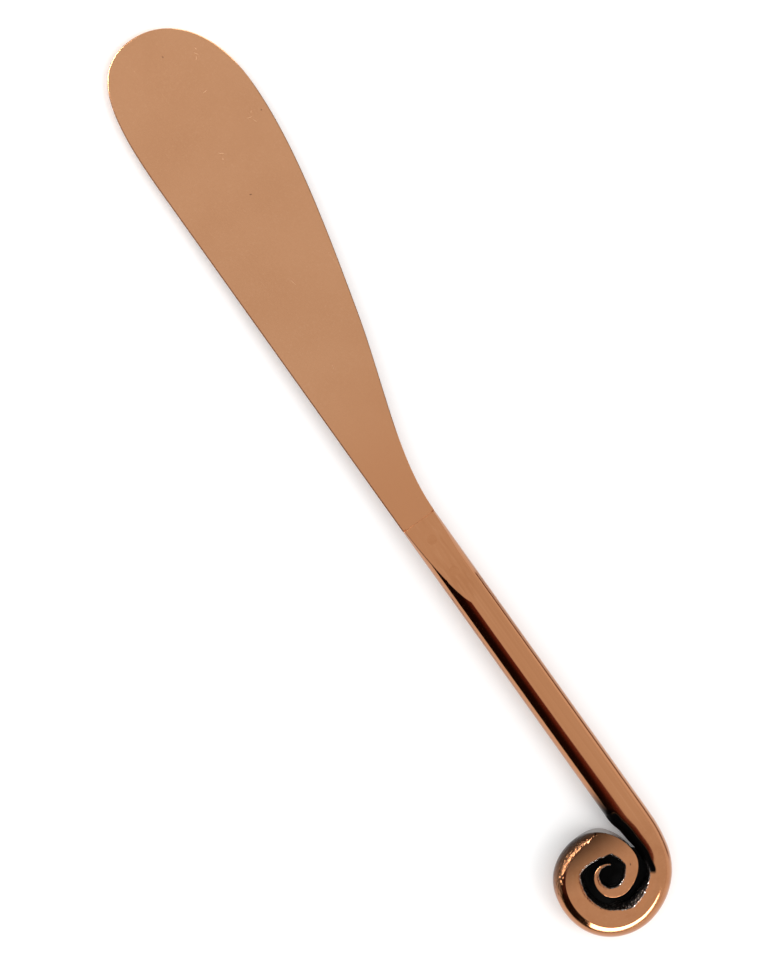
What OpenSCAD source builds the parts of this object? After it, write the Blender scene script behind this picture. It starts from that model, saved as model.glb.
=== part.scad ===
// Flat-bladed bar utensil: a one-sided spreading blade, a drawn round rod and a cast scroll.
// It lies on a table with its upper face towards +Z. The rod runs along X: the blade's tip is
// at -X, the scroll at +X curls towards -Y, and the blade's belly is on the +Y side.
// Lengths are in millimetres and the origin is the middle of the footprint on the table.

/* [Blade] */
// Length of the blade from its tip to the rod's nose
blade_length = 88; // [84:1:96]
// Width of the blade where it is widest
blade_width = 21.8; // [20:0.2:24]
// Distance of the tip from the line of the straight spine
tip_rise = 9.9; // [8:0.1:12]
// Thickness of the plate that the blade is cut from
blade_thickness = 1.3; // [1:0.1:1.6]

/* [Tang joint] */
// Depth of the slot that is sawn into the rod's nose
slot_depth = 13; // [11:0.5:15]
// Width of the tang inside the slot
tang_width = 5.2; // [4.6:0.2:5.4]
// Thickness of the braze around the tang
braze_film = 0.1; // [0.05:0.05:0.15]
// Diameter of the two pins through the tang
pin_diameter = 1.6; // [1.2:0.1:2]
// Distance of the front pin from the rod's nose
pin_front = 3.5; // [3:0.5:4]
// Distance between the two pins
pin_pitch = 6; // [5:0.5:7]

/* [Rod] */
// Diameter of the drawn rod
rod_diameter = 6; // [5.8:0.1:6.2]
// Length of the rod from its nose to the scroll's stub
rod_length = 53; // [45:1:65]
// Length over which the nose is filed down towards the blade
scarf_length = 20; // [17:0.5:24]
// Thickness of metal left on each face of the braze at the very nose
scarf_lip = 0.4; // [0.3:0.1:0.6]

/* [Scroll] */
// Thickness of the scroll between its two ground faces
scroll_thickness = 5.75; // [5.5:0.05:5.8]
// Thickness of the web that closes the groove
web_thickness = 1; // [0.8:0.1:1.4]
// Thickness of the black enamel that lies on each face of the web
enamel_thickness = 0.4; // [0.2:0.1:0.8]
// Length of the round stub between the rod and the bend
stub_length = 2.2; // [1.8:0.1:6]

/* [Scroll joint] */
// Diameter of the dowel between the rod and the scroll's stub
dowel_diameter = 2.5; // [2:0.1:3]
// Depth of the dowel's bore in the rod and in the stub
dowel_depth = 4; // [3:0.5:5]
// Thickness of the braze between the rod and the stub
joint_film = 0.1; // [0.05:0.05:0.15]

/* [Hidden] */

COPPER = [0.72, 0.47, 0.32];
CAST_COPPER = [0.69, 0.44, 0.3];
PIN_COPPER = [0.62, 0.38, 0.25];
BRAZE = [0.78, 0.62, 0.36];
STEEL = [0.6, 0.6, 0.62];
BLACK = [0.04, 0.03, 0.03];

$fn = 96;
curve_steps = 16;     // straight pieces in one curve of the blade's outline
turn_step = 5;        // degrees of turn for one straight piece of the scroll's edges
rim_step = 22.5;      // degrees between the points of the outer turn's section
spare = 1;            // how far a cutting solid runs past what it cuts

rod_radius = rod_diameter / 2;

// Blade. Its outline is measured from the tip along X, and from the spine's line along Y. It
// runs along the spine to the tip, back along the belly to the neck, and round the tang.
spine_end = 22;                    // where the straight spine turns into the round tip
widest_at = 16.4;                  // where the belly is furthest from the spine
belly_end = [55.4, 14.35];         // where the belly starts to sweep into the neck
belly_slope = 0.27;                // slope of the edge at belly_end
tip_handle = 6;                    // length of the curve handle below the tip
// The plate falls from the rod's axis until the tip's lower face meets the table.
blade_tilt = asin((rod_radius - blade_thickness / 2) / blade_length);

function bezier(a, b, c, d, t) =
    pow(1 - t, 3) * a + 3 * t * pow(1 - t, 2) * b + 3 * t * t * (1 - t) * c + pow(t, 3) * d;
function curve(a, b, c, d) = [for (i = [1:curve_steps]) bezier(a, b, c, d, i / curve_steps)];

blade_tip = [0, tip_rise];
blade_belly = [widest_at, blade_width];
blade_neck = [blade_length, rod_diameter];
tang_length = slot_depth - braze_film;
blade_outline = concat(
    [[blade_length, 0], [spine_end, 0]],
    curve([spine_end, 0], [6.5, 0], [0, 2.5], blade_tip),
    curve(blade_tip, blade_tip + [0, tip_handle], [5, blade_width], blade_belly),
    curve(blade_belly, [28, blade_width], belly_end + [-13.4, 13.4 * belly_slope], belly_end),
    curve(belly_end, belly_end + [12, -12 * belly_slope], blade_neck - [10, 0], blade_neck),
    [for (corner = [[0, 1], [1, 1], [1, -1], [0, -1]])
        [blade_length + corner.x * tang_length, rod_radius + corner.y * tang_width / 2]]);

// Rod. It starts at x = 0 with its axis rod_radius above the table.
joint_x = rod_length + joint_film;
bend_x = joint_x + stub_length;

// Scroll. Its outer edge is a chain of arcs, each of which starts where the last one ends.
// A row holds an arc's radius, its clockwise turn in degrees, and the band's width at its end.
ARCS = [
    [200, 1, 5.4], [21.5, 14, 4.6], [10.5, 25, 3.8], [11.3, 40, 3.9], [9.2, 40, 4.7],
    [8.3, 40, 4.75], [10, 40, 4.5], [7.2, 40, 4], [8.7, 40, 4.3], [5.1, 40, 4.05],
    [7.4, 20, 2.75], [7.4, 20, 2.45], [3.7, 40, 2.1], [5.9, 40, 1.65], [3.3, 40, 1.6],
    [2.8, 40, 1.35], [3.2, 40, 1.05], [2.4, 40, 0.7], [2.3, 40, 0.45], [2.2, 35, 0.15]];
last_arc = len(ARCS) - 1;
rim_arcs = 9;                      // the last arc of the outer turn, whose rim is round
web_start = 2;                     // the first arc whose band the web reaches
rod_fade = 40;                     // turn over which the round rod becomes a flat-faced band
rim_fade = [260, 330];             // turn over which the round rim becomes a sharp edge
seam = 0.06;                       // step down from the round stub to the start of the band
web_bottom = (scroll_thickness - web_thickness) / 2;
web_top = web_bottom + web_thickness;

function turned(i) = i == 0 ? 0 : turned(i - 1) + ARCS[i - 1][1];
function outward(turn) = [sin(turn), cos(turn)];
function start(i) = i == 0 ? [bend_x, rod_radius] : centre(i - 1) + ARCS[i - 1][0] * outward(turned(i));
function centre(i) = start(i) - ARCS[i][0] * outward(turned(i));
function band_width(i, s) =
    let (before = i == 0 ? rod_diameter : ARCS[i - 1][2], ease = s * s * (3 - 2 * s))
    before + (ARCS[i][2] - before) * ease;
// Stations along arcs first to last, each with its arc and its share of that arc's turn
function stations(first, last) = [
    for (i = [first:last])
        let (steps = ceil(ARCS[i][1] / turn_step))
        for (j = [0:i == last ? steps : steps - 1]) [i, j / steps]];
// The point at a station that lies a distance in from the outer edge
function inside(station, distance) =
    let (i = station[0])
    centre(i) + (ARCS[i][0] - distance) * outward(turned(i) + station[1] * ARCS[i][1]);
// Points along arcs first to last, at a share of the band's width in from the outer edge
function edge(first, last, share) = [
    for (station = stations(first, last)) inside(station, share * band_width(station[0], station[1]))];
function reversed(list) = [for (i = [len(list) - 1:-1:0]) list[i]];
function band(first, last) = concat(edge(first, last, 0), reversed(edge(first, last, 1)));

// Section of the outer turn at a station, as points of [distance in, height]. It starts as the
// round rod, gets flat faces and a square inner wall over rod_fade, and loses its round rim
// over rim_fade.
function section(station) =
    let (
        i = station[0],
        width = band_width(i, station[1]),
        turn = turned(i) + station[1] * ARCS[i][1],
        square = min(1, turn / rod_fade),
        sharp = max(0, min(1, (turn - rim_fade[0]) / (rim_fade[1] - rim_fade[0]))),
        top = rod_diameter - square * (rod_diameter - scroll_thickness),
        round_radius = rod_radius - seam * (1 - square),
        rim = rod_radius * (1 - sharp),
        inner_points = 180 / rim_step - 1)
    concat(
        [for (a = [-90:rim_step:90])
            let (middle_z = a < 0 ? rim : rod_diameter - rim, r = round_radius * (1 - sharp))
            [rim - r * cos(a), min(top, middle_z + r * sin(a))]],
        [for (j = [0:inner_points - 1])
            let (a = 90 + rim_step * (j + 1))
            (1 - square) * [width - rod_radius - round_radius * cos(a),
                            min(top, rod_radius + round_radius * sin(a))]
            + square * [width, top * (1 - j / (inner_points - 1))]]);

// Place of the finished utensil: the middle of its footprint goes to the origin.
scroll_edge = edge(0, rim_arcs, 0);
x_low = -blade_length * cos(blade_tilt) - blade_thickness / 2 * sin(blade_tilt);
x_high = max([for (p = scroll_edge) p.x]);
y_low = min([for (p = scroll_edge) p.y]);
y_high = blade_width - rod_radius;
middle = [(x_low + x_high) / 2, (y_low + y_high) / 2, 0];

module placed() {
    translate(-middle) children();
}

// Moves children into the blade's plane: the neck is at the origin and the tip is at -X.
module blade_plane() {
    translate([0, 0, rod_radius]) rotate([0, -blade_tilt, 0]) children();
}

// Round bar along X from x = from to x = to
module bar(from, to, radius) {
    translate([from, 0, rod_radius]) rotate([0, 90, 0]) cylinder(h = to - from, r = radius);
}

// Upper or lower half of the space that the file takes off the nose
module scarf_cut(side) {
    lip = blade_thickness / 2 + braze_film + scarf_lip;
    angle = atan((rod_radius - lip) / scarf_length);
    blade_plane()
        translate([0, 0, side * lip])
            rotate([0, -side * angle, 0])
                translate([-scarf_length, -rod_diameter, side > 0 ? 0 : -rod_diameter])
                    cube([3 * scarf_length, 2 * rod_diameter, rod_diameter]);
}

// What lies in front of the nose, up to the blade's shoulders
module nose_cut() {
    blade_plane()
        translate([-4 * spare, -rod_diameter, -rod_diameter])
            cube([4 * spare, 2 * rod_diameter, 2 * rod_diameter]);
}

// The rod with its filed nose, before the slot and the holes
module filed_rod() {
    difference() {
        bar(-spare, rod_length, rod_radius);
        nose_cut();
        scarf_cut(1);
        scarf_cut(-1);
    }
}

module slot() {
    height = blade_thickness + 2 * braze_film;
    blade_plane()
        translate([-spare, -rod_diameter, -height / 2])
            cube([slot_depth + spare, 2 * rod_diameter, height]);
}

module pin_bore(distance) {
    blade_plane()
        translate([distance, 0, -rod_diameter])
            cylinder(h = 2 * rod_diameter, d = pin_diameter);
}

module pin_bores() {
    pin_bore(pin_front);
    pin_bore(pin_front + pin_pitch);
}

// The blade's plate with its tang, before the pin holes
module plate() {
    blade_plane()
        translate([-blade_length, -rod_radius, -blade_thickness / 2])
            linear_extrude(blade_thickness) polygon(blade_outline);
}

module blade() {
    color(COPPER) placed() difference() {
        plate();
        pin_bores();
    }
}

// One pin, ground flush with the filed nose
module tang_pin(distance) {
    color(PIN_COPPER) placed() intersection() {
        filed_rod();
        pin_bore(distance);
    }
}

module tang_pin_front() {
    tang_pin(pin_front);
}

module tang_pin_rear() {
    tang_pin(pin_front + pin_pitch);
}

// The braze fills the slot around the tang
module tang_braze() {
    color(BRAZE) placed() difference() {
        intersection() {
            filed_rod();
            slot();
        }
        plate();
        pin_bores();
    }
}

module dowel_space() {
    bar(rod_length - dowel_depth, joint_x + dowel_depth, dowel_diameter / 2);
}

module handle_rod() {
    color(COPPER) placed() difference() {
        filed_rod();
        slot();
        pin_bores();
        dowel_space();
    }
}

module joint_braze() {
    color(BRAZE) placed() difference() {
        bar(rod_length, joint_x, rod_radius);
        dowel_space();
    }
}

module joint_dowel() {
    color(STEEL) placed() dowel_space();
}

// One closed skin swept through the sections of the outer turn
module outer_turn() {
    path = stations(0, rim_arcs);
    sides = len(section(path[0]));
    points = [
        for (station = path, q = section(station))
            let (p = inside(station, q[0]))
            [p.x, p.y, q[1]]];
    last = len(path) - 1;
    skin = [
        for (r = [0:last - 1], k = [0:sides - 1])
            let (n = (k + 1) % sides, a = r * sides, b = a + sides)
            each [[a + k, b + k, b + n], [a + k, b + n, a + n]]];
    end = last * sides;
    ends = [
        for (k = [1:sides - 2])
            each [[0, k, k + 1], [end, end + k + 1, end + k]]];
    polyhedron(points, concat(skin, ends));
}

module inner_coil() {
    linear_extrude(scroll_thickness) polygon(band(rim_arcs + 1, last_arc));
}

module web(bottom, height) {
    translate([0, 0, bottom]) linear_extrude(height) polygon(edge(web_start, rim_arcs, 0.5));
}

module scroll() {
    color(CAST_COPPER) placed() difference() {
        union() {
            bar(joint_x, bend_x, rod_radius);
            outer_turn();
            inner_coil();
            web(web_bottom, web_thickness);
        }
        dowel_space();
    }
}

// Enamel on one face of the web, between the walls of the groove
module groove_enamel(bottom) {
    color(BLACK) placed() difference() {
        web(bottom, enamel_thickness);
        translate([0, 0, bottom - spare])
            linear_extrude(enamel_thickness + 2 * spare) polygon(band(0, last_arc));
    }
}

module groove_enamel_top() {
    groove_enamel(web_top);
}

module groove_enamel_under() {
    groove_enamel(web_bottom - enamel_thickness);
}

blade();
tang_pin_front();
tang_pin_rear();
tang_braze();
handle_rod();
joint_braze();
joint_dowel();
scroll();
groove_enamel_top();
groove_enamel_under();
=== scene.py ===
# %% [markdown]
# # A copper bar spreader with a scroll handle
#
# The utensil has three visible pieces: a flat one-sided blade, a round drawn rod, and a cast end
# that curls up into a flat scroll whose groove is blackened. Pins, braze, a dowel and the black
# enamel come ready from the CAD model and only get their finish here.
#
# The model is loaded first. It is a fixed frame: every new piece goes where a CAD node says.

import math
from functools import reduce

import bpy
from mathutils import Euler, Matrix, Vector, noise
from mathutils.geometry import interpolate_bezier


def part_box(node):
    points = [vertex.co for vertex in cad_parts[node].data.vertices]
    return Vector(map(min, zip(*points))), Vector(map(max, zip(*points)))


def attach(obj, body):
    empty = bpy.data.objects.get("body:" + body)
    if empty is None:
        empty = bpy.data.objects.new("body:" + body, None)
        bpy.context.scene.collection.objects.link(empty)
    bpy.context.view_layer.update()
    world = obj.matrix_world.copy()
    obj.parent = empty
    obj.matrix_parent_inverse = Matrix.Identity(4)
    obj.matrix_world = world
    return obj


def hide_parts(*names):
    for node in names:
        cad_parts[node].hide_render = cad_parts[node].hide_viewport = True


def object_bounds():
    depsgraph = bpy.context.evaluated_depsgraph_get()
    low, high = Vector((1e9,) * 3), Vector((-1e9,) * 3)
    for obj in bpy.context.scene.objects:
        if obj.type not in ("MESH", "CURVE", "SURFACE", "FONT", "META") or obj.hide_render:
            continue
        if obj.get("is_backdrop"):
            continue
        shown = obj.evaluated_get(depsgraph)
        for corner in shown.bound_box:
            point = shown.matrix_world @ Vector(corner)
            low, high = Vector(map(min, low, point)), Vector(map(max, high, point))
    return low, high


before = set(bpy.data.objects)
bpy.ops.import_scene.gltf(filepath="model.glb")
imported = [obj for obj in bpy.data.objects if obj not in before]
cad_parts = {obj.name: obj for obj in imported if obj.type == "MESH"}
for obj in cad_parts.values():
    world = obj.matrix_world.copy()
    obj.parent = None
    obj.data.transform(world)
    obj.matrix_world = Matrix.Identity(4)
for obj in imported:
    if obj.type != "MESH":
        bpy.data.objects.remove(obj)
cad_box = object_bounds()
print("size of the utensil in millimetres:", [round(v * 1000, 1) for v in cad_box[1] - cad_box[0]])

# %% [markdown]
# Sizes below are in metres. The ones that the frame can tell are read from it: where the blade,
# the rod and the scroll begin and end, how thick the rod is, and how high its axis lies.

# %% Sizes that the frame gives
MM = 0.001
blade_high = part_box("blade")[1]
rod_low, rod_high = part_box("handle_rod")
scroll_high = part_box("scroll")[1]

rod_radius = (rod_high.z - rod_low.z) / 2
axis_y = (rod_high.y + rod_low.y) / 2
axis_z = (rod_high.z + rod_low.z) / 2
joint_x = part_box("joint_braze")[1].x
tang_length = 12.9 * MM
neck_x = blade_high.x - tang_length
print("rod radius", round(rod_radius / MM, 2), "mm, neck at x =", round(neck_x / MM, 2), "mm")

# %% [markdown]
# ## Helpers for modelling
#
# Blender's operators act on everything that is selected, so each step starts by selecting nothing.
# The helpers below do the small chores that come back for every piece.

# %% Helpers for modelling
def select_only(piece):
    """Makes one object the selected and active one, in object mode."""
    if bpy.context.mode != "OBJECT":
        bpy.ops.object.mode_set(mode="OBJECT")
    bpy.ops.object.select_all(action="DESELECT")
    piece.select_set(True)
    bpy.context.view_layer.objects.active = piece


def apply_all(piece):
    """Puts the object's place, turn and size into its mesh."""
    select_only(piece)
    bpy.ops.object.transform_apply(location=True, rotation=True, scale=True)


def mesh_piece(name, points, faces):
    """A new object from points and faces."""
    mesh = bpy.data.meshes.new(name)
    mesh.from_pydata(points, [], faces)
    mesh.update()
    piece = bpy.data.objects.new(name, mesh)
    bpy.context.scene.collection.objects.link(piece)
    return piece


def tidy_mesh(piece, merge=0.002 * MM):
    """Merges doubled points and turns every face outwards."""
    select_only(piece)
    bpy.ops.object.mode_set(mode="EDIT")
    bpy.ops.mesh.select_all(action="SELECT")
    bpy.ops.mesh.remove_doubles(threshold=merge)
    bpy.ops.mesh.normals_make_consistent(inside=False)
    bpy.ops.object.mode_set(mode="OBJECT")


def modifier(piece, kind, **settings):
    """Adds a modifier, sets it and applies it."""
    select_only(piece)
    added = piece.modifiers.new(kind.lower(), kind)
    for key, value in settings.items():
        setattr(added, key, value)
    bpy.ops.object.modifier_apply(modifier=added.name)


def store(piece, name, values):
    """Stores one number at each point of a mesh, for the finish to read."""
    layer = piece.data.attributes.new(name, "FLOAT", "POINT")
    layer.data.foreach_set("value", values)


def report(piece):
    """Prints how big a piece is and how many faces it has."""
    corners = [piece.matrix_world @ Vector(c) for c in piece.bound_box]
    size = [max(c[i] for c in corners) - min(c[i] for c in corners) for i in range(3)]
    print(piece.name, [round(s / MM, 2) for s in size], "mm,", len(piece.data.polygons), "faces")


def smoothstep(low, high, value):
    """0 below low, 1 above high, and a soft rise between them."""
    t = min(1.0, max(0.0, (value - low) / (high - low)))
    return t * t * (3 - 2 * t)


# %% [markdown]
# ## The blade
#
# The real blade is cut from flat plate: a straight spine, a round tip and a long curved belly that
# sweeps into the neck. Its edges are eased so that they don't cut, and a tang at its root goes
# into the rod. The outline is a closed chain of Bezier curves, the way a cutter would draw it. It
# is filled, extruded to the plate's thickness, and its edges are rounded with a bevel. The plate
# then leans until its tip rests on the table.

# %% Blade
blade_thickness = 1.3 * MM
blade_length = 88 * MM
edge_radius = 0.42 * MM
tang_half = 2.6 * MM
curve_points = 40

tip = Vector((0, 9.9, 0)) * MM
belly = Vector((16.4, 21.8, 0)) * MM
belly_end = Vector((55.4, 14.35, 0)) * MM
neck = Vector((88, 6, 0)) * MM
spine_end = Vector((22, 0, 0)) * MM
blade_curves = [
    (spine_end, Vector((6.5, 0, 0)) * MM, Vector((0, 2.5, 0)) * MM, tip),
    (tip, Vector((0, 15.9, 0)) * MM, Vector((5, 21.8, 0)) * MM, belly),
    (belly, Vector((28, 21.8, 0)) * MM, Vector((42, 17.97, 0)) * MM, belly_end),
    (belly_end, Vector((67.4, 11.11, 0)) * MM, Vector((78, 6, 0)) * MM, neck),
]
blade_tilt = math.asin((rod_radius - blade_thickness / 2) / blade_length)


def blade_outline():
    """Points round the plate, measured from the tip along X and from the spine along Y."""
    points = [Vector((blade_length, 0, 0))]
    spine_pieces = 20
    for i in range(1, spine_pieces):
        points.append(Vector((blade_length, 0, 0)).lerp(spine_end, i / spine_pieces))
    for start, handle_a, handle_b, end in blade_curves:
        points += interpolate_bezier(start, handle_a, handle_b, end, curve_points)[:-1]
    points.append(neck)
    for along, side in ((0, 1), (1, 1), (1, -1), (0, -1)):
        points.append(Vector((blade_length + along * tang_length,
                              rod_radius + side * tang_half, 0)))
    return points


def make_blade():
    outline = blade_outline()
    shift = Vector((neck_x - blade_length, axis_y - rod_radius, axis_z - blade_thickness / 2))
    piece = mesh_piece("blade_plate", [p + shift for p in outline], [list(range(len(outline)))])
    select_only(piece)
    bpy.ops.object.mode_set(mode="EDIT")
    bpy.ops.mesh.select_all(action="SELECT")
    bpy.ops.mesh.extrude_region_move(TRANSFORM_OT_translate={"value": (0, 0, blade_thickness)})
    bpy.ops.object.mode_set(mode="OBJECT")
    tidy_mesh(piece)
    modifier(piece, "BEVEL", width=edge_radius, segments=6, limit_method="ANGLE",
             angle_limit=math.radians(60), harden_normals=True)
    piece.rotation_euler = (0, -blade_tilt, 0)
    pivot = Vector((neck_x, axis_y, axis_z))
    turned = pivot.copy()
    turned.rotate(piece.rotation_euler)
    piece.location = pivot - turned
    apply_all(piece)
    return piece


blade_plate = make_blade()
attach(blade_plate, "root")
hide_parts("blade")
report(blade_plate)

# %% [markdown]
# ## The rod
#
# The handle is drawn round bar. Its nose is filed down to two thin lips that hold the blade's tang
# in a sawn slot. A cylinder is cut by three planes, as a file would do it, the slot is sawn with a
# Boolean, and a narrow bevel eases the new edges. At the other end the plating has closed the
# film of braze, so the rod's skin runs on to the scroll.

# %% Rod
slot_depth = 13 * MM
slot_height = blade_thickness + 0.2 * MM
scarf_length = 20 * MM
lip_height = blade_thickness / 2 + 0.5 * MM
rod_sides = 128
plating = 0.003 * MM
overrun = 4 * MM  # how far the bar and the saw reach past the nose before the cut
edge_break = 0.1 * MM


def make_rod():
    front = neck_x - overrun
    bpy.ops.object.select_all(action="DESELECT")
    bpy.ops.mesh.primitive_cylinder_add(
        vertices=rod_sides, radius=rod_radius + plating, depth=joint_x - front,
        location=((joint_x + front) / 2, axis_y, axis_z), rotation=(0, math.pi / 2, 0))
    piece = bpy.context.object
    piece.name = "handle_bar"
    apply_all(piece)
    pivot = Vector((neck_x, axis_y, axis_z))
    scarf = math.atan((rod_radius - lip_height) / scarf_length)
    cuts = [(pivot, -blade_tilt, (-1, 0, 0))]
    for side in (1, -1):
        cuts.append((pivot, -blade_tilt - side * scarf, (0, 0, side)))
    bpy.ops.object.mode_set(mode="EDIT")
    for centre, angle, normal in cuts:
        normal = Vector(normal)
        place = centre + Vector((0, 0, normal.z * lip_height))
        normal.rotate(Euler((0, angle, 0)))
        bpy.ops.mesh.select_all(action="SELECT")
        bpy.ops.mesh.bisect(plane_co=place, plane_no=normal, use_fill=True, clear_outer=True)
    bpy.ops.object.mode_set(mode="OBJECT")
    tidy_mesh(piece)
    bpy.ops.object.select_all(action="DESELECT")
    bpy.ops.mesh.primitive_cube_add(size=1, location=(0, 0, 0))
    saw = bpy.context.object
    saw.scale = (slot_depth + overrun, 4 * rod_radius, slot_height)
    saw.location = ((slot_depth - overrun) / 2, 0, 0)
    apply_all(saw)
    saw.rotation_euler = (0, -blade_tilt, 0)
    saw.location = pivot
    apply_all(saw)
    modifier(piece, "BOOLEAN", operation="DIFFERENCE", object=saw, solver="EXACT")
    bpy.data.objects.remove(saw)
    tidy_mesh(piece)
    # The end at the scroll stays sharp, because the joint there is polished flush.
    bpy.ops.object.mode_set(mode="EDIT")
    bpy.ops.mesh.select_mode(type="EDGE")
    bpy.ops.mesh.select_all(action="DESELECT")
    bpy.ops.mesh.edges_select_sharp(sharpness=math.radians(40))
    bpy.ops.object.mode_set(mode="OBJECT")
    for edge in piece.data.edges:
        middle = sum((piece.data.vertices[v].co for v in edge.vertices), Vector()) / 2
        edge.select = edge.select and middle.x < joint_x - 1 * MM
    for face in piece.data.polygons:
        face.select = False
    bpy.ops.object.mode_set(mode="EDIT")
    bpy.ops.mesh.bevel(offset=edge_break, segments=3)
    bpy.ops.mesh.select_mode(type="VERT")
    bpy.ops.object.mode_set(mode="OBJECT")
    bpy.ops.object.shade_smooth_by_angle(angle=math.radians(12))
    return piece


handle_bar = make_rod()
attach(handle_bar, "root")
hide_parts("handle_rod")
report(handle_bar)

# %% [markdown]
# ## The scroll
#
# The scroll is one band that leaves the round stub, bends through almost two turns and tapers to
# a point. Its outer edge is a chain of arcs. The band starts round, then gets two ground flat
# faces, a round rim outside and a steep wall inside, and in the second turn it has steep walls on
# both sides. No single operator bends and tapers a changing section like this, so the section is
# worked out by a formula at each station along the arcs and the skin is laid over the stations.
# The groove's walls are as the casting left them: a little noise moves their points in and out.

# %% The chain of arcs
# Each row is an arc's radius in mm, its turn in degrees, and the band's width in mm at its end.
ARCS = [
    (200, 1, 5.4), (21.5, 14, 4.6), (10.5, 25, 3.8), (11.3, 40, 3.9), (9.2, 40, 4.7),
    (8.3, 40, 4.75), (10, 40, 4.5), (7.2, 40, 4), (8.7, 40, 4.3), (5.1, 40, 4.05),
    (7.4, 20, 2.75), (7.4, 20, 2.45), (3.7, 40, 2.1), (5.9, 40, 1.65), (3.3, 40, 1.6),
    (2.8, 40, 1.35), (3.2, 40, 1.05), (2.4, 40, 0.7), (2.3, 40, 0.45), (2.2, 35, 0.15)]
stub_length = 2.2 * MM
bend_x = joint_x + stub_length
face_height = 5.75 * MM
station_gap = 0.2 * MM
web_from, web_to = 15, 320  # degrees of turn
web_thickness = 1 * MM


def outward(turn):
    """Direction from an arc's centre to the band after so many degrees of turn."""
    return Vector((math.sin(math.radians(turn)), math.cos(math.radians(turn)), 0))


def walk_arcs():
    """Stations along the chain: turn so far, place on the outer edge, direction outwards, width."""
    stations = []
    turn = 0.0
    width = 2 * rod_radius
    place = Vector((bend_x, axis_y + rod_radius, 0))
    for radius_mm, sweep, width_mm in ARCS:
        radius = radius_mm * MM
        centre = place - radius * outward(turn)
        steps = max(3, round(math.radians(sweep) * radius / station_gap))
        for i in range(steps):
            share = i / steps
            stations.append({
                "turn": turn + share * sweep,
                "place": centre + radius * outward(turn + share * sweep),
                "outward": outward(turn + share * sweep),
                "width": width + (width_mm * MM - width) * smoothstep(0, 1, share)})
        turn += sweep
        width = width_mm * MM
        place = centre + radius * outward(turn)
    stations.append({"turn": turn, "place": place, "outward": outward(turn), "width": width})
    return stations


stations = walk_arcs()
print(len(stations), "stations,", round(stations[-1]["turn"]), "degrees of turn")

# %% [markdown]
# A section is a ring of points, each with its distance in from the outer edge and its height. It
# goes round the outer rim, over the ground top face, down the groove's wall and back underneath.
# The wall leans out towards its middle, because a casting has to leave its mould. The round stub
# uses the same points, pushed out onto a circle, so the one can turn into the other.

# %% The band's section
rim_steps, corner_steps, wall_steps, face_steps = 24, 5, 26, 16
section_points = 2 * (rim_steps + corner_steps + wall_steps + face_steps)
eased = 0.09 * MM


def quarter(centre_in, centre_z, radius, start, steps):
    """Points of a quarter round, from an angle in degrees where 180 points to the outer edge."""
    made = []
    for i in range(steps):
        angle = math.radians(start - 90 * i / (steps - 1))
        made.append((centre_in + radius * math.cos(angle), centre_z + radius * math.sin(angle)))
    return made


def run(a, b, steps):
    """Points between a and b, without the two ends."""
    return [(a[0] + (b[0] - a[0]) * i / (steps + 1), a[1] + (b[1] - a[1]) * i / (steps + 1))
            for i in range(1, steps + 1)]


def wall(top, middle, bottom):
    """A wall in two slopes that meet at the middle of its height."""
    half = wall_steps // 2
    return run(top, middle, half) + run(middle, bottom, wall_steps - half)


def lean_of_walls(turn):
    """How far the inner and the outer wall lean out at the middle of their height."""
    inner = 1.7 * smoothstep(30, 64, turn) - 0.9 * smoothstep(96, 140, turn)
    inner += 0.2 * smoothstep(200, 240, turn) - 0.75 * smoothstep(318, 372, turn)
    inner -= 0.15 * smoothstep(520, 640, turn)
    outer = 0.22 * smoothstep(366, 400, turn) - 0.17 * smoothstep(470, 560, turn)
    return inner * MM, outer * MM


def flat_section(width, turn):
    """Outer rim, top face, inner wall and bottom face of the ground band."""
    rim = rod_radius * (1 - smoothstep(262, 322, turn))
    rim = max(min(eased, width * 0.3), min(rim, width * 0.75))
    inner = min(eased, width * 0.25)
    inner_lean, outer_lean = lean_of_walls(turn)
    # The file only cuts the top of the rim's round away: the round is drawn up to the rod's top.
    top_z = 2 * rod_radius if rim > 1 * MM else face_height
    lower = quarter(rim, rim, rim, 270, rim_steps)
    upper = quarter(rim, max(top_z - rim, rim), rim, 180, rim_steps)
    upper = [(x, min(z, face_height)) for x, z in upper]
    inner_top = quarter(width - inner, face_height - inner, inner, 90, corner_steps)
    inner_low = quarter(width - inner, inner, inner, 0, corner_steps)
    outer_middle = (-outer_lean, (lower[-1][1] + upper[0][1]) / 2)
    ring = lower + wall(lower[-1], outer_middle, upper[0]) + upper
    ring = ring + run(upper[-1], inner_top[0], face_steps) + inner_top
    inner_middle = (width + inner_lean, face_height / 2)
    ring = ring + wall(inner_top[-1], inner_middle, inner_low[0]) + inner_low
    return ring + run(inner_low[-1], lower[0], face_steps)


def ring_at(station):
    """The band's ring of (distance in, height) at a station."""
    width = station["width"]
    blend = smoothstep(0, 42, station["turn"])
    ring = []
    for inward, height in flat_section(width, station["turn"]):
        angle = math.atan2(height - rod_radius, inward - width / 2)
        round_in = width / 2 * (1 + math.cos(angle))
        round_z = rod_radius * (1 + math.sin(angle))
        ring.append(((1 - blend) * round_in + blend * inward,
                     (1 - blend) * round_z + blend * height))
    return ring


print(section_points, "points in a section")

# %% [markdown]
# The rings are joined into one closed skin. Three numbers are stored at each point for the finish:
# how black it is, mostly from the antiquing, how rough the casting left it, and how much of a wall
# shows rubbed grains painted as glints.
# The groove's walls and a stretch of the outer rim get real relief from three sizes of noise.

# %% Black and rough places of the scroll
PARTS = (("low rim", rim_steps), ("outer wall", wall_steps), ("high rim", rim_steps),
         ("top", face_steps), ("inner corner", corner_steps), ("inner wall", wall_steps),
         ("low corner", corner_steps), ("bottom", face_steps))
# For each point of a section, the name of the part that it belongs to
part_names = [name for name, steps in PARTS for i in range(steps)]
worn_edge = 0.55 * MM
relief_depth = 0.1 * MM


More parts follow.
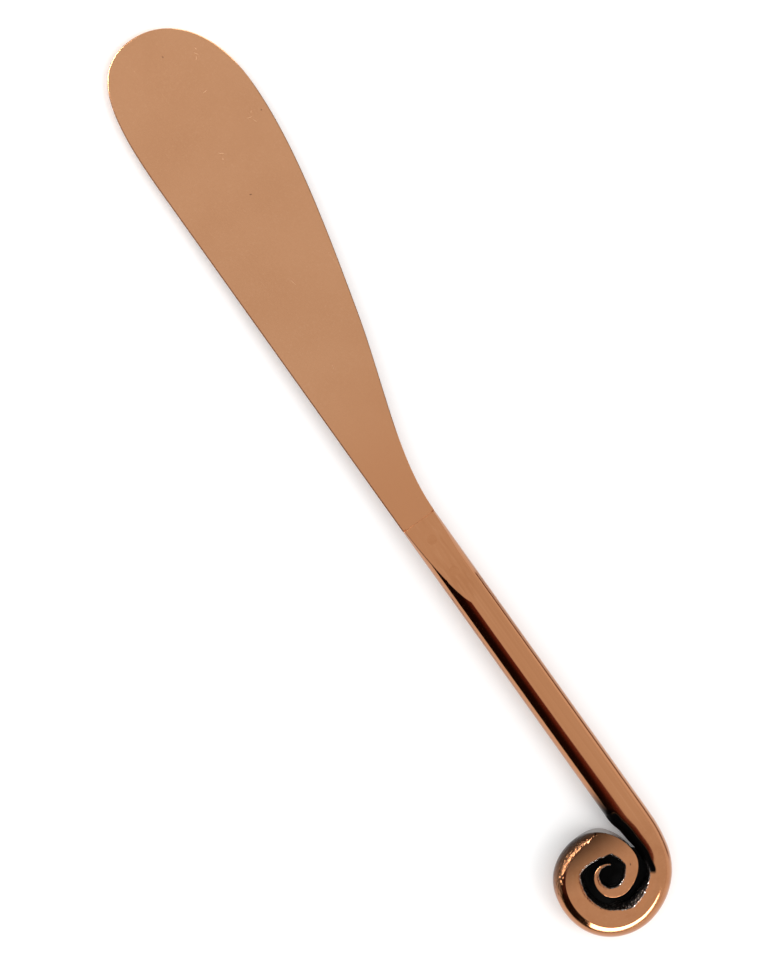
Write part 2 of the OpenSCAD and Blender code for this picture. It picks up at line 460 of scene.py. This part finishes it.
def grain(point):
    """Relief of the bare casting at a point, from -1 to 1."""
    return (0.5 * noise.noise(point / (0.5 * MM)) + 0.4 * noise.noise(point / (0.25 * MM))
            + 0.3 * noise.noise(point / (0.14 * MM)))


def blackness(part, turn, inward, width, x):
    """How black a point is, from 0 to 1: the antiquing, and the stub's lower side under the
    groove's mouth.
    """
    groove = smoothstep(10, 44, turn)
    coil = smoothstep(334, 362, turn)
    near_edge = smoothstep(width - worn_edge, width, inward)
    # Under the mouth of the groove the stub's lower side is made black as well.
    mouth = smoothstep(joint_x - 0.5 * MM, joint_x + 2.5 * MM, x) * (1 - smoothstep(30, 44, turn))
    under = mouth * smoothstep(0.6, 0.78, inward / width)
    if part in ("inner wall", "low corner"):
        return max(groove, under)
    if part == "inner corner":
        return max(groove * 0.8, under)
    if part in ("outer wall", "low rim"):
        return max(coil, under)
    if part == "high rim":
        return max(coil * 0.15, under)
    return max(groove * near_edge * 0.55, under)


def roughness(part, turn, inward, width, height):
    """How rough the casting is at a point, from 0 to 1."""
    if part in ("inner wall", "inner corner", "low corner"):
        return smoothstep(16, 44, turn) * (1.0 if part == "inner wall" else 0.7)
    if part == "outer wall":
        return smoothstep(318, 342, turn)
    if part == "high rim":
        rim_patch = smoothstep(186, 204, turn) * (1 - smoothstep(268, 296, turn))
        patch = max(0.9 * rim_patch, 0.2 * smoothstep(300, 340, turn))
        return patch * smoothstep(0, 0.4 * MM, face_height - height)
    if part == "top":
        return smoothstep(16, 44, turn) * smoothstep(width - worn_edge, width, inward)
    return 0.0


# Where along the walls the rubbed grains are painted as glints, as (turn, how much of the black is
# rubbed off and painted bright)
RUBBED_GLINTS = [(0, 0), (30, 0.2), (48, 1), (96, 1), (118, 0.2), (205, 0.2), (222, 0.9), (318, 1),
          (345, 0.25), (395, 0.3), (412, 1), (440, 1), (470, 0.3), (675, 0.3)]


def rubbed_glints(turn):
    """How much of the upper part of a wall shows rubbed grains painted as glints, from 0 to 1."""
    for (from_turn, before), (to_turn, after) in zip(RUBBED_GLINTS, RUBBED_GLINTS[1:]):
        if turn <= to_turn:
            return before + (after - before) * smoothstep(from_turn, to_turn, turn)
    return RUBBED_GLINTS[-1][1]


print("parts of the section:", ", ".join(name for name, steps in PARTS))

# %% Lay the skin over the rings
def make_scroll():
    points, faces, black, rough, bare_glints = [], [], [], [], []
    # The stub reaches a hair into the rod's skin, so that the plated joint shows no line.
    stub_x = joint_x - 0.03 * MM
    stub = dict(stations[0], place=Vector((stub_x, axis_y + rod_radius, 0)))
    path = [stub, dict(stub, place=(stub["place"] + stations[0]["place"]) / 2)] + stations
    for station in path:
        turn, width, away = station["turn"], station["width"], station["outward"]
        for index, (inward, height) in enumerate(ring_at(station)):
            point = station["place"] - away * inward + Vector((0, 0, height))
            part = part_names[index]
            coarse = roughness(part, turn, inward, width, height)
            if coarse and part != "top":
                push = away if part == "outer wall" else -away
                if part == "high rim":
                    push = (away + Vector((0, 0, 0.8))) * 0.45
                relief = relief_depth * min(1, width / (1.6 * MM))
                point = point + push * relief * coarse * grain(point)
            points.append(point)
            black.append(blackness(part, turn, inward, width, point.x))
            rough.append(coarse)
            bare_glints.append(rubbed_glints(turn))
    count = section_points
    for ring in range(len(path) - 1):
        for k in range(count):
            after = (k + 1) % count
            faces.append([ring * count + k, ring * count + after,
                          (ring + 1) * count + after, (ring + 1) * count + k])
    faces.append(list(range(count)))
    faces.append([(len(path) - 1) * count + k for k in reversed(range(count))])
    piece = mesh_piece("scroll_casting", points, faces)
    for name, values in (("black", black), ("rough", rough), ("bare_glints", bare_glints)):
        store(piece, name, values)
    return piece


def make_web():
    """The web that closes the groove: a plate inside the middle of the band."""
    low = Vector((0, 0, (face_height - web_thickness) / 2))
    line = [s["place"] - s["outward"] * s["width"] / 2 for s in stations
            if web_from <= s["turn"] <= web_to][::4]
    piece = mesh_piece("scroll_web", [p + low for p in line], [list(range(len(line)))])
    select_only(piece)
    bpy.ops.object.mode_set(mode="EDIT")
    bpy.ops.mesh.select_all(action="SELECT")
    bpy.ops.mesh.extrude_region_move(TRANSFORM_OT_translate={"value": (0, 0, web_thickness)})
    bpy.ops.object.mode_set(mode="OBJECT")
    for name, value in (("black", 1.0), ("rough", 1.0), ("bare_glints", 0.0)):
        store(piece, name, [value] * len(piece.data.vertices))
    return piece


scroll_casting = make_scroll()
scroll_web = make_web()
for piece in (scroll_casting, scroll_web):
    tidy_mesh(piece, 0.0004 * MM)
select_only(scroll_casting)
scroll_web.select_set(True)
bpy.ops.object.join()
select_only(scroll_casting)
bpy.ops.object.shade_smooth_by_angle(angle=math.radians(20))
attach(scroll_casting, "root")
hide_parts("scroll")
report(scroll_casting)

# %% [markdown]
# ## Writing shader maths as expressions
#
# A finish is a small calculation over the surface. The two classes below let it be written as one:
# a Value wraps a socket, and adding or multiplying Values adds the Math nodes. A Board holds the
# nodes of one material and makes any other node from its type, settings and sockets.

# %% Values and boards
class Value:
    """A socket that can be used in an expression."""

    def __init__(self, board, socket):
        self.board = board
        self.socket = socket

    def math(self, operation, first, second):
        return self.board.node("ShaderNodeMath", {"operation": operation}, {0: first, 1: second})

    def __add__(self, other):
        return self.math("ADD", self, other)

    def __radd__(self, other):
        return self.math("ADD", other, self)

    def __sub__(self, other):
        return self.math("SUBTRACT", self, other)

    def __rsub__(self, other):
        return self.math("SUBTRACT", other, self)

    def __mul__(self, other):
        return self.math("MULTIPLY", self, other)

    def __rmul__(self, other):
        return self.math("MULTIPLY", other, self)

    def rise(self, low, high):
        """0 below low, 1 above high, soft between."""
        return self.board.node(
            "ShaderNodeMapRange", {"interpolation_type": "SMOOTHSTEP"},
            {"Value": self, "From Min": low, "From Max": high})

    def most(self, other):
        """The larger of two values."""
        return self.math("MAXIMUM", self, other)


class Board:
    """The nodes of one material."""

    def __init__(self, name):
        self.material = bpy.data.materials.new(name)
        self.material.use_nodes = True
        self.tree = self.material.node_tree
        self.shader = self.tree.nodes["Principled BSDF"]

    def put(self, socket, value):
        """Links a Value to a socket, or sets the socket to a plain number, colour or vector."""
        if isinstance(value, Value):
            self.tree.links.new(value.socket, socket)
        else:
            socket.default_value = value

    def node(self, kind, settings=None, sockets=None, output=0):
        made = self.tree.nodes.new(kind)
        for key, value in (settings or {}).items():
            setattr(made, key, value)
        for key, value in (sockets or {}).items():
            self.put(made.inputs[key], value)
        return Value(self, made.outputs[output])

    def place(self):
        """Object coordinates, in metres."""
        return self.node("ShaderNodeTexCoord", output=3)

    def stored(self, name):
        """A number stored at the mesh's points."""
        return self.node("ShaderNodeAttribute", {"attribute_name": name}, output=2)

    def stretch(self, where, scale, turn=0.0):
        """Coordinates turned about Z and then scaled."""
        return self.node("ShaderNodeMapping", {"vector_type": "POINT"},
                         {"Vector": where, "Rotation": (0, 0, turn), "Scale": scale})

    def noise(self, where, scale, detail=3.0, roughness=0.55, distortion=0.0):
        return self.node("ShaderNodeTexNoise", None,
                         {"Vector": where, "Scale": scale, "Detail": detail,
                          "Roughness": roughness, "Distortion": distortion})

    def mix(self, share, first, second):
        """Blends two colours."""
        return self.node("ShaderNodeMix", {"data_type": "RGBA"}, {0: share, 6: first, 7: second}, 2)

    def mark(self, where, centre, length, width, turn):
        """1 on a small stroke across the surface and 0 away from it."""
        moved = self.node("ShaderNodeVectorMath", {"operation": "SUBTRACT"}, {0: where, 1: centre})
        turned = self.node("ShaderNodeVectorRotate", {"rotation_type": "Z_AXIS"},
                           {"Vector": moved, "Angle": -turn})
        scaled = self.node("ShaderNodeVectorMath", {"operation": "MULTIPLY"},
                           {0: turned, 1: (2 / length, 2 / width, 0)})
        away = self.node("ShaderNodeVectorMath", {"operation": "LENGTH"}, {0: scaled}, "Value")
        return 1 - away.rise(0.5, 1.0)

    def part(self, where, axis):
        """One number of a place: 0 for x, 1 for y, 2 for z."""
        return self.node("ShaderNodeSeparateXYZ", None, {0: where}, axis)

    def bump(self, height, distance, strength):
        return self.node("ShaderNodeBump", None,
                         {"Height": height, "Distance": distance, "Strength": strength})

    def finish(self, **inputs):
        """Sets the shader's own sockets; _ stands for a space in a socket's name."""
        for key, value in inputs.items():
            self.put(self.shader.inputs[key.replace("_", " ")], value)
        return self.material


def give(piece, material):
    """Makes one material the only one of a piece, or of a CAD node."""
    if not piece.material_slots:
        piece.data.materials.append(material)
    for slot in piece.material_slots:
        slot.material = material


# %% [markdown]
# ## Copper finishes
#
# All visible metal has one copper plating, polished after the pieces were joined. What differs is
# the work under it: the blade's plate is even with a few hairlines and small marks, the rod keeps
# fine lines from the drawing die, and the cast scroll is a shade browner and softly mottled.

# %% Blade finish
PLATE = (0.52, 0.262, 0.136, 1)
PLATE_DEEP = (0.47, 0.226, 0.112, 1)
PLATE_PALE = (0.6, 0.345, 0.205, 1)
DRAWN = (0.476, 0.212, 0.098, 1)
DRAWN_DEEP = (0.4, 0.163, 0.068, 1)
DRAWN_PALE = (0.545, 0.268, 0.138, 1)
CAST = (0.452, 0.199, 0.092, 1)
CAST_DEEP = (0.4, 0.165, 0.072, 1)
NICK = (0.09, 0.03, 0.015, 1)
BLACK = (0.0012, 0.001, 0.001, 1)


def from_tip(along, across):
    """A place on the blade, in mm from its tip and from its spine, as object coordinates."""
    return (neck_x - blade_length + along * MM, axis_y - rod_radius + across * MM, 0)


# Each mark: mm from the tip, mm from the spine, length, width, turn in degrees
DARK_MARKS = [(30.9, 11.3, 0.55, 0.2, 70), (21.0, 20.4, 0.3, 0.25, 0), (5.2, 12.6, 0.4, 0.2, 20)]
PALE_MARKS = [(22.9, 11.3, 1.3, 0.16, 50), (23.8, 11.0, 0.5, 0.16, -20),
              (13.5, 14.8, 0.9, 0.13, 92), (7.8, 17.2, 1.1, 0.1, 35),
              (8.4, 16.8, 0.8, 0.1, -40), (7.1, 17.6, 0.5, 0.1, 5),
              (20.9, 18.2, 1.2, 0.1, 75), (21.8, 18.6, 0.9, 0.1, 20), (20.3, 18.9, 0.6, 0.1, -35),
              (46.0, 8.7, 1.4, 0.09, 12), (60.5, 6.1, 1.0, 0.08, -15)]


def strokes(board, where, rows):
    """One value for each mark in the rows."""
    return [board.mark(where, from_tip(along, across), length * MM, width * MM, math.radians(turn))
            for along, across, length, width, turn in rows]


def blade_finish():
    board = Board("blade copper")
    where = board.place()
    cloud = board.noise(where, 75, 3)
    fine = board.noise(where, 4200, 2, 0.6)
    brushed = board.noise(board.stretch(where, (60, 1500, 60), math.radians(4)), 1.0, 3)
    hairline = board.noise(board.stretch(where, (70, 3600, 70), math.radians(-31)), 1.0, 1)
    hairline = hairline.rise(0.75, 0.79)
    dark = reduce(Value.most, strokes(board, where, DARK_MARKS))
    pale = reduce(Value.most, strokes(board, where, PALE_MARKS), hairline * 0.4)
    colour = board.mix(cloud.rise(0.38, 0.68) * 0.4, PLATE, PLATE_DEEP)
    colour = board.mix(fine.rise(0.5, 0.75) * 0.3, colour, PLATE_PALE)
    colour = board.mix(brushed.rise(0.5, 0.8) * 0.12, colour, PLATE_DEEP)
    to_neck = board.part(where, 0).rise(neck_x - 32 * MM, neck_x - 1 * MM)
    colour = board.mix(to_neck * 0.85, colour, DRAWN)
    colour = board.mix(pale * 0.55, colour, PLATE_PALE)
    colour = board.mix(dark * 0.75, colour, NICK)
    height = fine * 0.3 + brushed * 0.5 + cloud * 2.0 - pale * 0.8 - dark * 2.0
    normal = board.bump(height, 0.000004, 0.5)
    return board.finish(Base_Color=colour, Metallic=1.0,
                        Roughness=0.19 + fine * 0.06 + pale * 0.12, Normal=normal)


give(blade_plate, blade_finish())
print("blade finish made")

# %% [markdown]
# The rod's lines are needed again on the scroll's stub. Both pieces keep their object at the
# origin, so the same formula gives the same lines on both and they run on across the joint.

# %% Rod finish
def drawn_copper(board, where):
    """Colour and relief of drawn bar along X, with painted shade on its lower side near the scroll.
    """
    lines = board.noise(board.stretch(where, (16, 2100, 2100)), 1.0, 3, 0.6)
    broad = board.noise(board.stretch(where, (7, 620, 620)), 1.0, 2)
    speck = board.noise(where, 3600, 2, 0.65)
    colour = board.mix(broad.rise(0.48, 0.66) * 0.55, DRAWN, DRAWN_DEEP)
    colour = board.mix(lines.rise(0.5, 0.72) * 0.4, colour, DRAWN_PALE)
    colour = board.mix(speck.rise(0.56, 0.8) * 0.2, colour, DRAWN_DEEP)
    # Towards the scroll the rod's lower side is painted black: painted shade for the shadowed floor
    # that it mirrors there.
    painted_shade = board.part(where, 1).rise(axis_y - 0.5 * rod_radius, axis_y - 0.78 * rod_radius)
    painted_shade = painted_shade * board.part(where, 0).rise(joint_x - 5 * MM, joint_x + 1 * MM)
    colour = board.mix(painted_shade, colour, BLACK)
    return colour, lines * 0.8 + speck * 0.3


def rod_finish(name):
    board = Board(name)
    where = board.place()
    colour, height = drawn_copper(board, where)
    return board.finish(Base_Color=colour, Metallic=1.0, Roughness=0.1 + height * 0.05,
                        Normal=board.bump(height, 0.000003, 0.6))


give(handle_bar, rod_finish("drawn rod copper"))
print("rod finish made")

# %% [markdown]
# The scroll's finish mixes three things: ground copper on the faces and rim, black antiquing in the
# groove, and bright grains where the polishing mop has rubbed the black off the high spots of the
# walls. These grains are painted near-white, as painted glints, and only on the upper, lit part of
# a wall.

# %% Scroll finish
# Near-white colour of the painted glints on the rubbed grains.
GRAIN_GLINT = (0.95, 0.86, 0.8, 1)
stretch_from, stretch_to = joint_x + 0.5 * MM, joint_x + 9 * MM
pit_place = (scroll_high.x - 9.5 * MM, axis_y - 4.2 * MM, face_height)


def scroll_finish():
    board = Board("cast scroll copper")
    where = board.place()
    drawn, drawn_height = drawn_copper(board, where)
    cast_share = board.part(where, 0).rise(stretch_from, stretch_to)
    cloud = board.noise(where, 380, 4, 0.6)
    mottle = board.noise(where, 1900, 3, 0.6)
    fine = board.noise(where, 5200, 2)
    colour = board.mix(cloud.rise(0.4, 0.72) * 0.6, CAST, CAST_DEEP)
    colour = board.mix(mottle.rise(0.5, 0.8) * 0.35, colour, PLATE)
    pits = board.noise(where, 1700, 1, 0.4, 0.6).rise(0.79, 0.83)
    pits = pits.most(board.mark(where, pit_place, 0.5 * MM, 0.25 * MM, math.radians(-20)))
    colour = board.mix(pits * 0.7, colour, NICK)
    colour = board.mix(cast_share, drawn, colour)
    grains = board.noise(where, 5600, 2, 0.6)
    black = board.stored("black")
    rough = board.stored("rough")
    lumps = board.noise(where, 2900, 2, 0.5)
    cover = (black + (grains - 0.5) * (rough * 1.6 + 0.1)).rise(0.25, 0.75)
    lit = board.part(where, 2).rise(0.6 * face_height, 0.9 * face_height)
    # Painted glints: the rubbed grains on the upper, lit part of a wall get a near-white colour.
    worn_glints = grains.rise(0.54, 0.6) * lit * rough * board.stored("bare_glints")
    colour = board.mix(cover, colour, BLACK)
    colour = board.mix(worn_glints * cover, colour, GRAIN_GLINT)
    covered = cover * (1 - worn_glints)
    height = (fine * 0.3 + mottle * 0.5 - pits * 1.5) * cast_share + drawn_height * 0.5
    height = height + rough * (grains * black * 16 + lumps * (1 - black) * 42)
    normal = board.bump(height, 0.000006, 0.7)
    return board.finish(Base_Color=colour, Metallic=1.0,
                        Roughness=0.11 + mottle * 0.07 + covered.rise(0.7, 1) * 0.5,
                        Normal=normal)


give(scroll_casting, scroll_finish())
print("scroll finish made")

# %% [markdown]
# ## Finishes of the CAD nodes
#
# Pins and braze were plated and polished with the rest, so they differ from the copper beside them
# only a little. The dowel is plain steel, hidden inside, and the enamel is matt black with dust.

# %% Pins, braze, dowel and enamel
def joint_finish(name, tint, share):
    board = Board(name)
    where = board.place()
    cloud = board.noise(where, 700, 3)
    fine = board.noise(where, 3800, 2)
    colour = board.mix(share + cloud.rise(0.4, 0.7) * 0.3, DRAWN, tint)
    return board.finish(Base_Color=colour, Metallic=1.0, Roughness=0.14 + fine * 0.06,
                        Normal=board.bump(fine + cloud, 0.000005, 0.5))


def dowel_finish():
    board = Board("turned steel")
    where = board.place()
    rings = board.noise(board.stretch(where, (3000, 60, 60)), 1.0, 2)
    return board.finish(Base_Color=(0.5, 0.5, 0.52, 1), Metallic=1.0, Roughness=0.25 + rings * 0.15,
                        Normal=board.bump(rings, 0.00001, 0.5))


def enamel_finish():
    board = Board("black antiquing enamel")
    where = board.place()
    dust = board.noise(where, 2600, 3, 0.7)
    colour = board.mix(dust.rise(0.6, 0.8) * 0.5, BLACK, (0.006, 0.003, 0.002, 1))
    return board.finish(Base_Color=colour, Roughness=0.75 + dust * 0.2, Specular_IOR_Level=0.08,
                        Normal=board.bump(dust, 0.00003, 0.6))


pin_copper = joint_finish("pin copper", DRAWN_DEEP, 0.2)
braze_copper = joint_finish("polished braze", DRAWN_PALE, 0.15)
for node, material in (("tang_pin_front", pin_copper), ("tang_pin_rear", pin_copper),
                       ("tang_braze", braze_copper), ("joint_braze", rod_finish("plated joint")),
                       ("joint_dowel", dowel_finish()), ("groove_enamel_top", enamel_finish()),
                       ("groove_enamel_under", enamel_finish())):
    give(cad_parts[node], material)
print("finishes given to the CAD nodes")

# %% [markdown]
# ## Floor, light and camera
#
# Polished metal shows what stands round it, so the studio matters as much as the copper. The room
# is an even white tent. One side of the tent is a dark card, which draws the black line along the
# rod. A low bright strip at the scroll's end makes the crescent on its rim, and a small softbox on
# the other side puts sparks on the rough part of the rim. Strips on the floor draw thin lines along
# the rod's lower flanks, and low walls beside the blade colour its rounded edge. None of these is
# seen by the camera or throws a shadow: they only act on reflections.

# %% Studio
bpy.context.scene.view_settings.view_transform = "Standard"
floor_half = 6.0
floor_lift = 0.2 * MM  # strips lie this far above the floor
wall_gap = 7 * MM
strip_gap = 8.7 * MM  # from the rod's axis to the floor strip


def make_floor():
    bpy.ops.object.select_all(action="DESELECT")
    bpy.ops.mesh.primitive_plane_add(size=2 * floor_half, location=(0, 0, cad_box[0].z))
    floor = bpy.context.object
    floor.name = "floor"
    board = Board("white floor")
    give(floor, board.finish(Base_Color=(0.9, 0.9, 0.9, 1), Roughness=0.9,
                             Specular_IOR_Level=0.0, Emission_Color=(1, 1, 1, 1),
                             Emission_Strength=0.12))
    floor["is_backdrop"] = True


def only_reflected(piece, board, colour, strength):
    """Makes a piece shine and hides it from everything but reflections."""
    give(piece, board.finish(Base_Color=(0, 0, 0, 1), Specular_IOR_Level=0.0, Roughness=1.0,
                             Emission_Color=colour, Emission_Strength=strength))
    piece.visible_camera = False
    piece.visible_diffuse = False
    piece.visible_shadow = False
    piece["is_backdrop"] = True


def make_card(name, azimuths, zeniths, colours, taper=0.0, centre=(0, 0, 0), radius=1.5):
    """A patch of a sphere round a centre. Azimuth 0 is +X and -90 is -Y; the zenith angle is 0
    overhead. The colours are (share of the way down, red, green, blue). A taper of 1 makes the
    last end of the card a point."""
    across, down = 32, 32
    points, faces = [], []
    for i in range(down + 1):
        for j in range(across + 1):
            azimuth = math.radians(azimuths[0] + (azimuths[1] - azimuths[0]) * j / across)
            depth = (zeniths[1] - zeniths[0]) * (1 - taper * (j / across) ** 2)
            zenith = math.radians(zeniths[0] + depth * i / down)
            points.append(Vector(centre) + radius * Vector((
                math.sin(zenith) * math.cos(azimuth), math.sin(zenith) * math.sin(azimuth),
                math.cos(zenith))))
    for i in range(down):
        for j in range(across):
            k = i * (across + 1) + j
            faces.append([k, k + 1, k + across + 2, k + across + 1])
    card = mesh_piece(name, points, faces)
    store(card, "down", [i / down for i in range(down + 1) for j in range(across + 1)])
    board = Board(name)
    ramp = board.tree.nodes.new("ShaderNodeValToRGB")
    board.put(ramp.inputs[0], board.stored("down"))
    while len(ramp.color_ramp.elements) < len(colours):
        ramp.color_ramp.elements.new(0.5)
    for element, (position, red, green, blue) in zip(ramp.color_ramp.elements, colours):
        element.position = position
        element.color = (min(1, red), min(1, green), min(1, blue), 1)
    power = max(1.0, max(max(c[1:]) for c in colours))
    only_reflected(card, board, Value(board, ramp.outputs[0]), power)


def make_strip(name, line, breadth, colour, strength=1.0):
    """A strip along a line of (x, y) just above the floor, lying or, as a low wall, standing."""
    points = [Vector((x, y, floor_lift)) for x, y in line]
    count = len(points)
    points += [p + Vector(breadth) for p in points]
    faces = [[k, k + 1, count + k + 1, count + k] for k in range(count - 1)]
    only_reflected(mesh_piece(name, points, faces), Board(name), colour, strength)


def make_blade_wall(name, chosen, height, colour, strength=1.0):
    """A low wall beside the stretch of the blade's outline that chosen(x, y) accepts, in mm."""
    line = []
    outline = [p for p in blade_outline() if chosen(p.x / MM, p.y / MM)]
    for before, after in zip(outline, outline[1:]):
        along = (after - before).normalized()
        place = before + Vector((-along.y, along.x, 0)) * wall_gap
        line.append((place.x + neck_x - blade_length, place.y + axis_y - rod_radius))
    make_strip(name, line, (0, 0, height), colour, strength)


def make_world():
    world = bpy.data.worlds.new("white tent")
    world.use_nodes = True
    background = world.node_tree.nodes["Background"]
    background.inputs["Color"].default_value = (1, 1, 1, 1)
    background.inputs["Strength"].default_value = 1.0
    bpy.context.scene.world = world


def make_key():
    light = bpy.data.lights.new("soft key", "SUN")
    light.energy = 0.9
    light.angle = math.radians(35)
    key = bpy.data.objects.new("soft key", light)
    bpy.context.scene.collection.objects.link(key)
    key.rotation_euler = (Vector((0.75, 0.65, 1.0))).to_track_quat("Z", "Y").to_euler()
    key.visible_glossy = False


make_floor()
make_card("dark card", (-135, -50), (14, 97),
          [(0.0, 1, 1, 1), (0.045, 1, 1, 1), (0.075, 0.26, 0.085, 0.06), (0.3, 0.15, 0.035, 0.025),
           (0.5, 0.02, 0.006, 0.004), (1.0, 0.004, 0.002, 0.002)])
make_card("second dark card", (-176, -135), (33, 46),
          [(0.0, 0.3, 0.1, 0.06), (0.3, 0.12, 0.02, 0.01), (1.0, 0.05, 0.01, 0.005)])
# The strip stands close round the scroll's middle, so that the blade doesn't mirror it.
scroll_middle = (scroll_high.x - 10 * MM, axis_y - 7.7 * MM, 4 * MM)
make_card("bright strip", (-55, 26), (60, 82), [(0.0, 14, 14, 14), (1.0, 14, 14, 14)], 0.8,
          scroll_middle, 50 * MM)
make_card("side softbox", (-174, -138), (46.5, 57), [(0.0, 60, 60, 60), (1.0, 60, 60, 60)])
# The floor strip starts behind the nose and follows the rod and the start of the bend.
bend_line = [s["place"] + s["outward"] * (strip_gap - rod_radius) for s in stations
             if s["turn"] <= 32]
make_strip("floor strip",
           [(neck_x + 12 * MM, axis_y + strip_gap)] + [(p.x, p.y) for p in bend_line],
           (0, 4.5 * MM, 0), (0.2, 0.08, 0.03, 1))
make_strip("dark table", [(-0.6, -0.045), (0.6, -0.045)], (0, -1.2, 0), (0.006, 0.003, 0.002, 1))
make_blade_wall("belly wall", lambda x, y: y > 8 and 15 < x < 84, 6 * MM, (0.03, 0.008, 0.003, 1))
make_blade_wall("spine wall", lambda x, y: y < 11 and x < 60, 5 * MM, (0.42, 0.36, 0.33, 1))
make_blade_wall("tip glow", lambda x, y: y > 16 and x < 13, 3 * MM, (1, 1, 1, 1), 9.0)
make_world()
make_key()

# %% [markdown]
# The camera looks straight down. The utensil lies across the frame's diagonal, blade at the upper
# left and scroll at the lower right, and fills it.

# %% Camera
camera_lens = 100
image_width, image_height = 778, 963
lie_angle = math.radians(54.5)
view_margin = 1.05


def make_camera():
    data = bpy.data.cameras.new("camera")
    data.lens = camera_lens
    camera = bpy.data.objects.new("camera", data)
    bpy.context.scene.collection.objects.link(camera)
    turn = (math.cos(lie_angle), math.sin(lie_angle))
    pieces = (blade_plate, handle_bar, scroll_casting)
    spots = [v.co for piece in pieces for v in piece.data.vertices]
    across = [p.x * turn[0] + p.y * turn[1] for p in spots]
    upward = [-p.x * turn[1] + p.y * turn[0] for p in spots]
    middle = ((max(across) + min(across)) / 2, (max(upward) + min(upward)) / 2)
    height = max(max(upward) - min(upward),
                 (max(across) - min(across)) * image_height / image_width)
    distance = height * view_margin * data.lens / data.sensor_width
    camera.location = (middle[0] * turn[0] - middle[1] * turn[1],
                       middle[0] * turn[1] + middle[1] * turn[0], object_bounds()[1].z + distance)
    camera.rotation_euler = (0, 0, lie_angle)
    data.clip_start, data.clip_end = 0.01, 100
    bpy.context.scene.camera = camera
    print("camera", round(distance, 3), "m above the utensil")


make_camera()
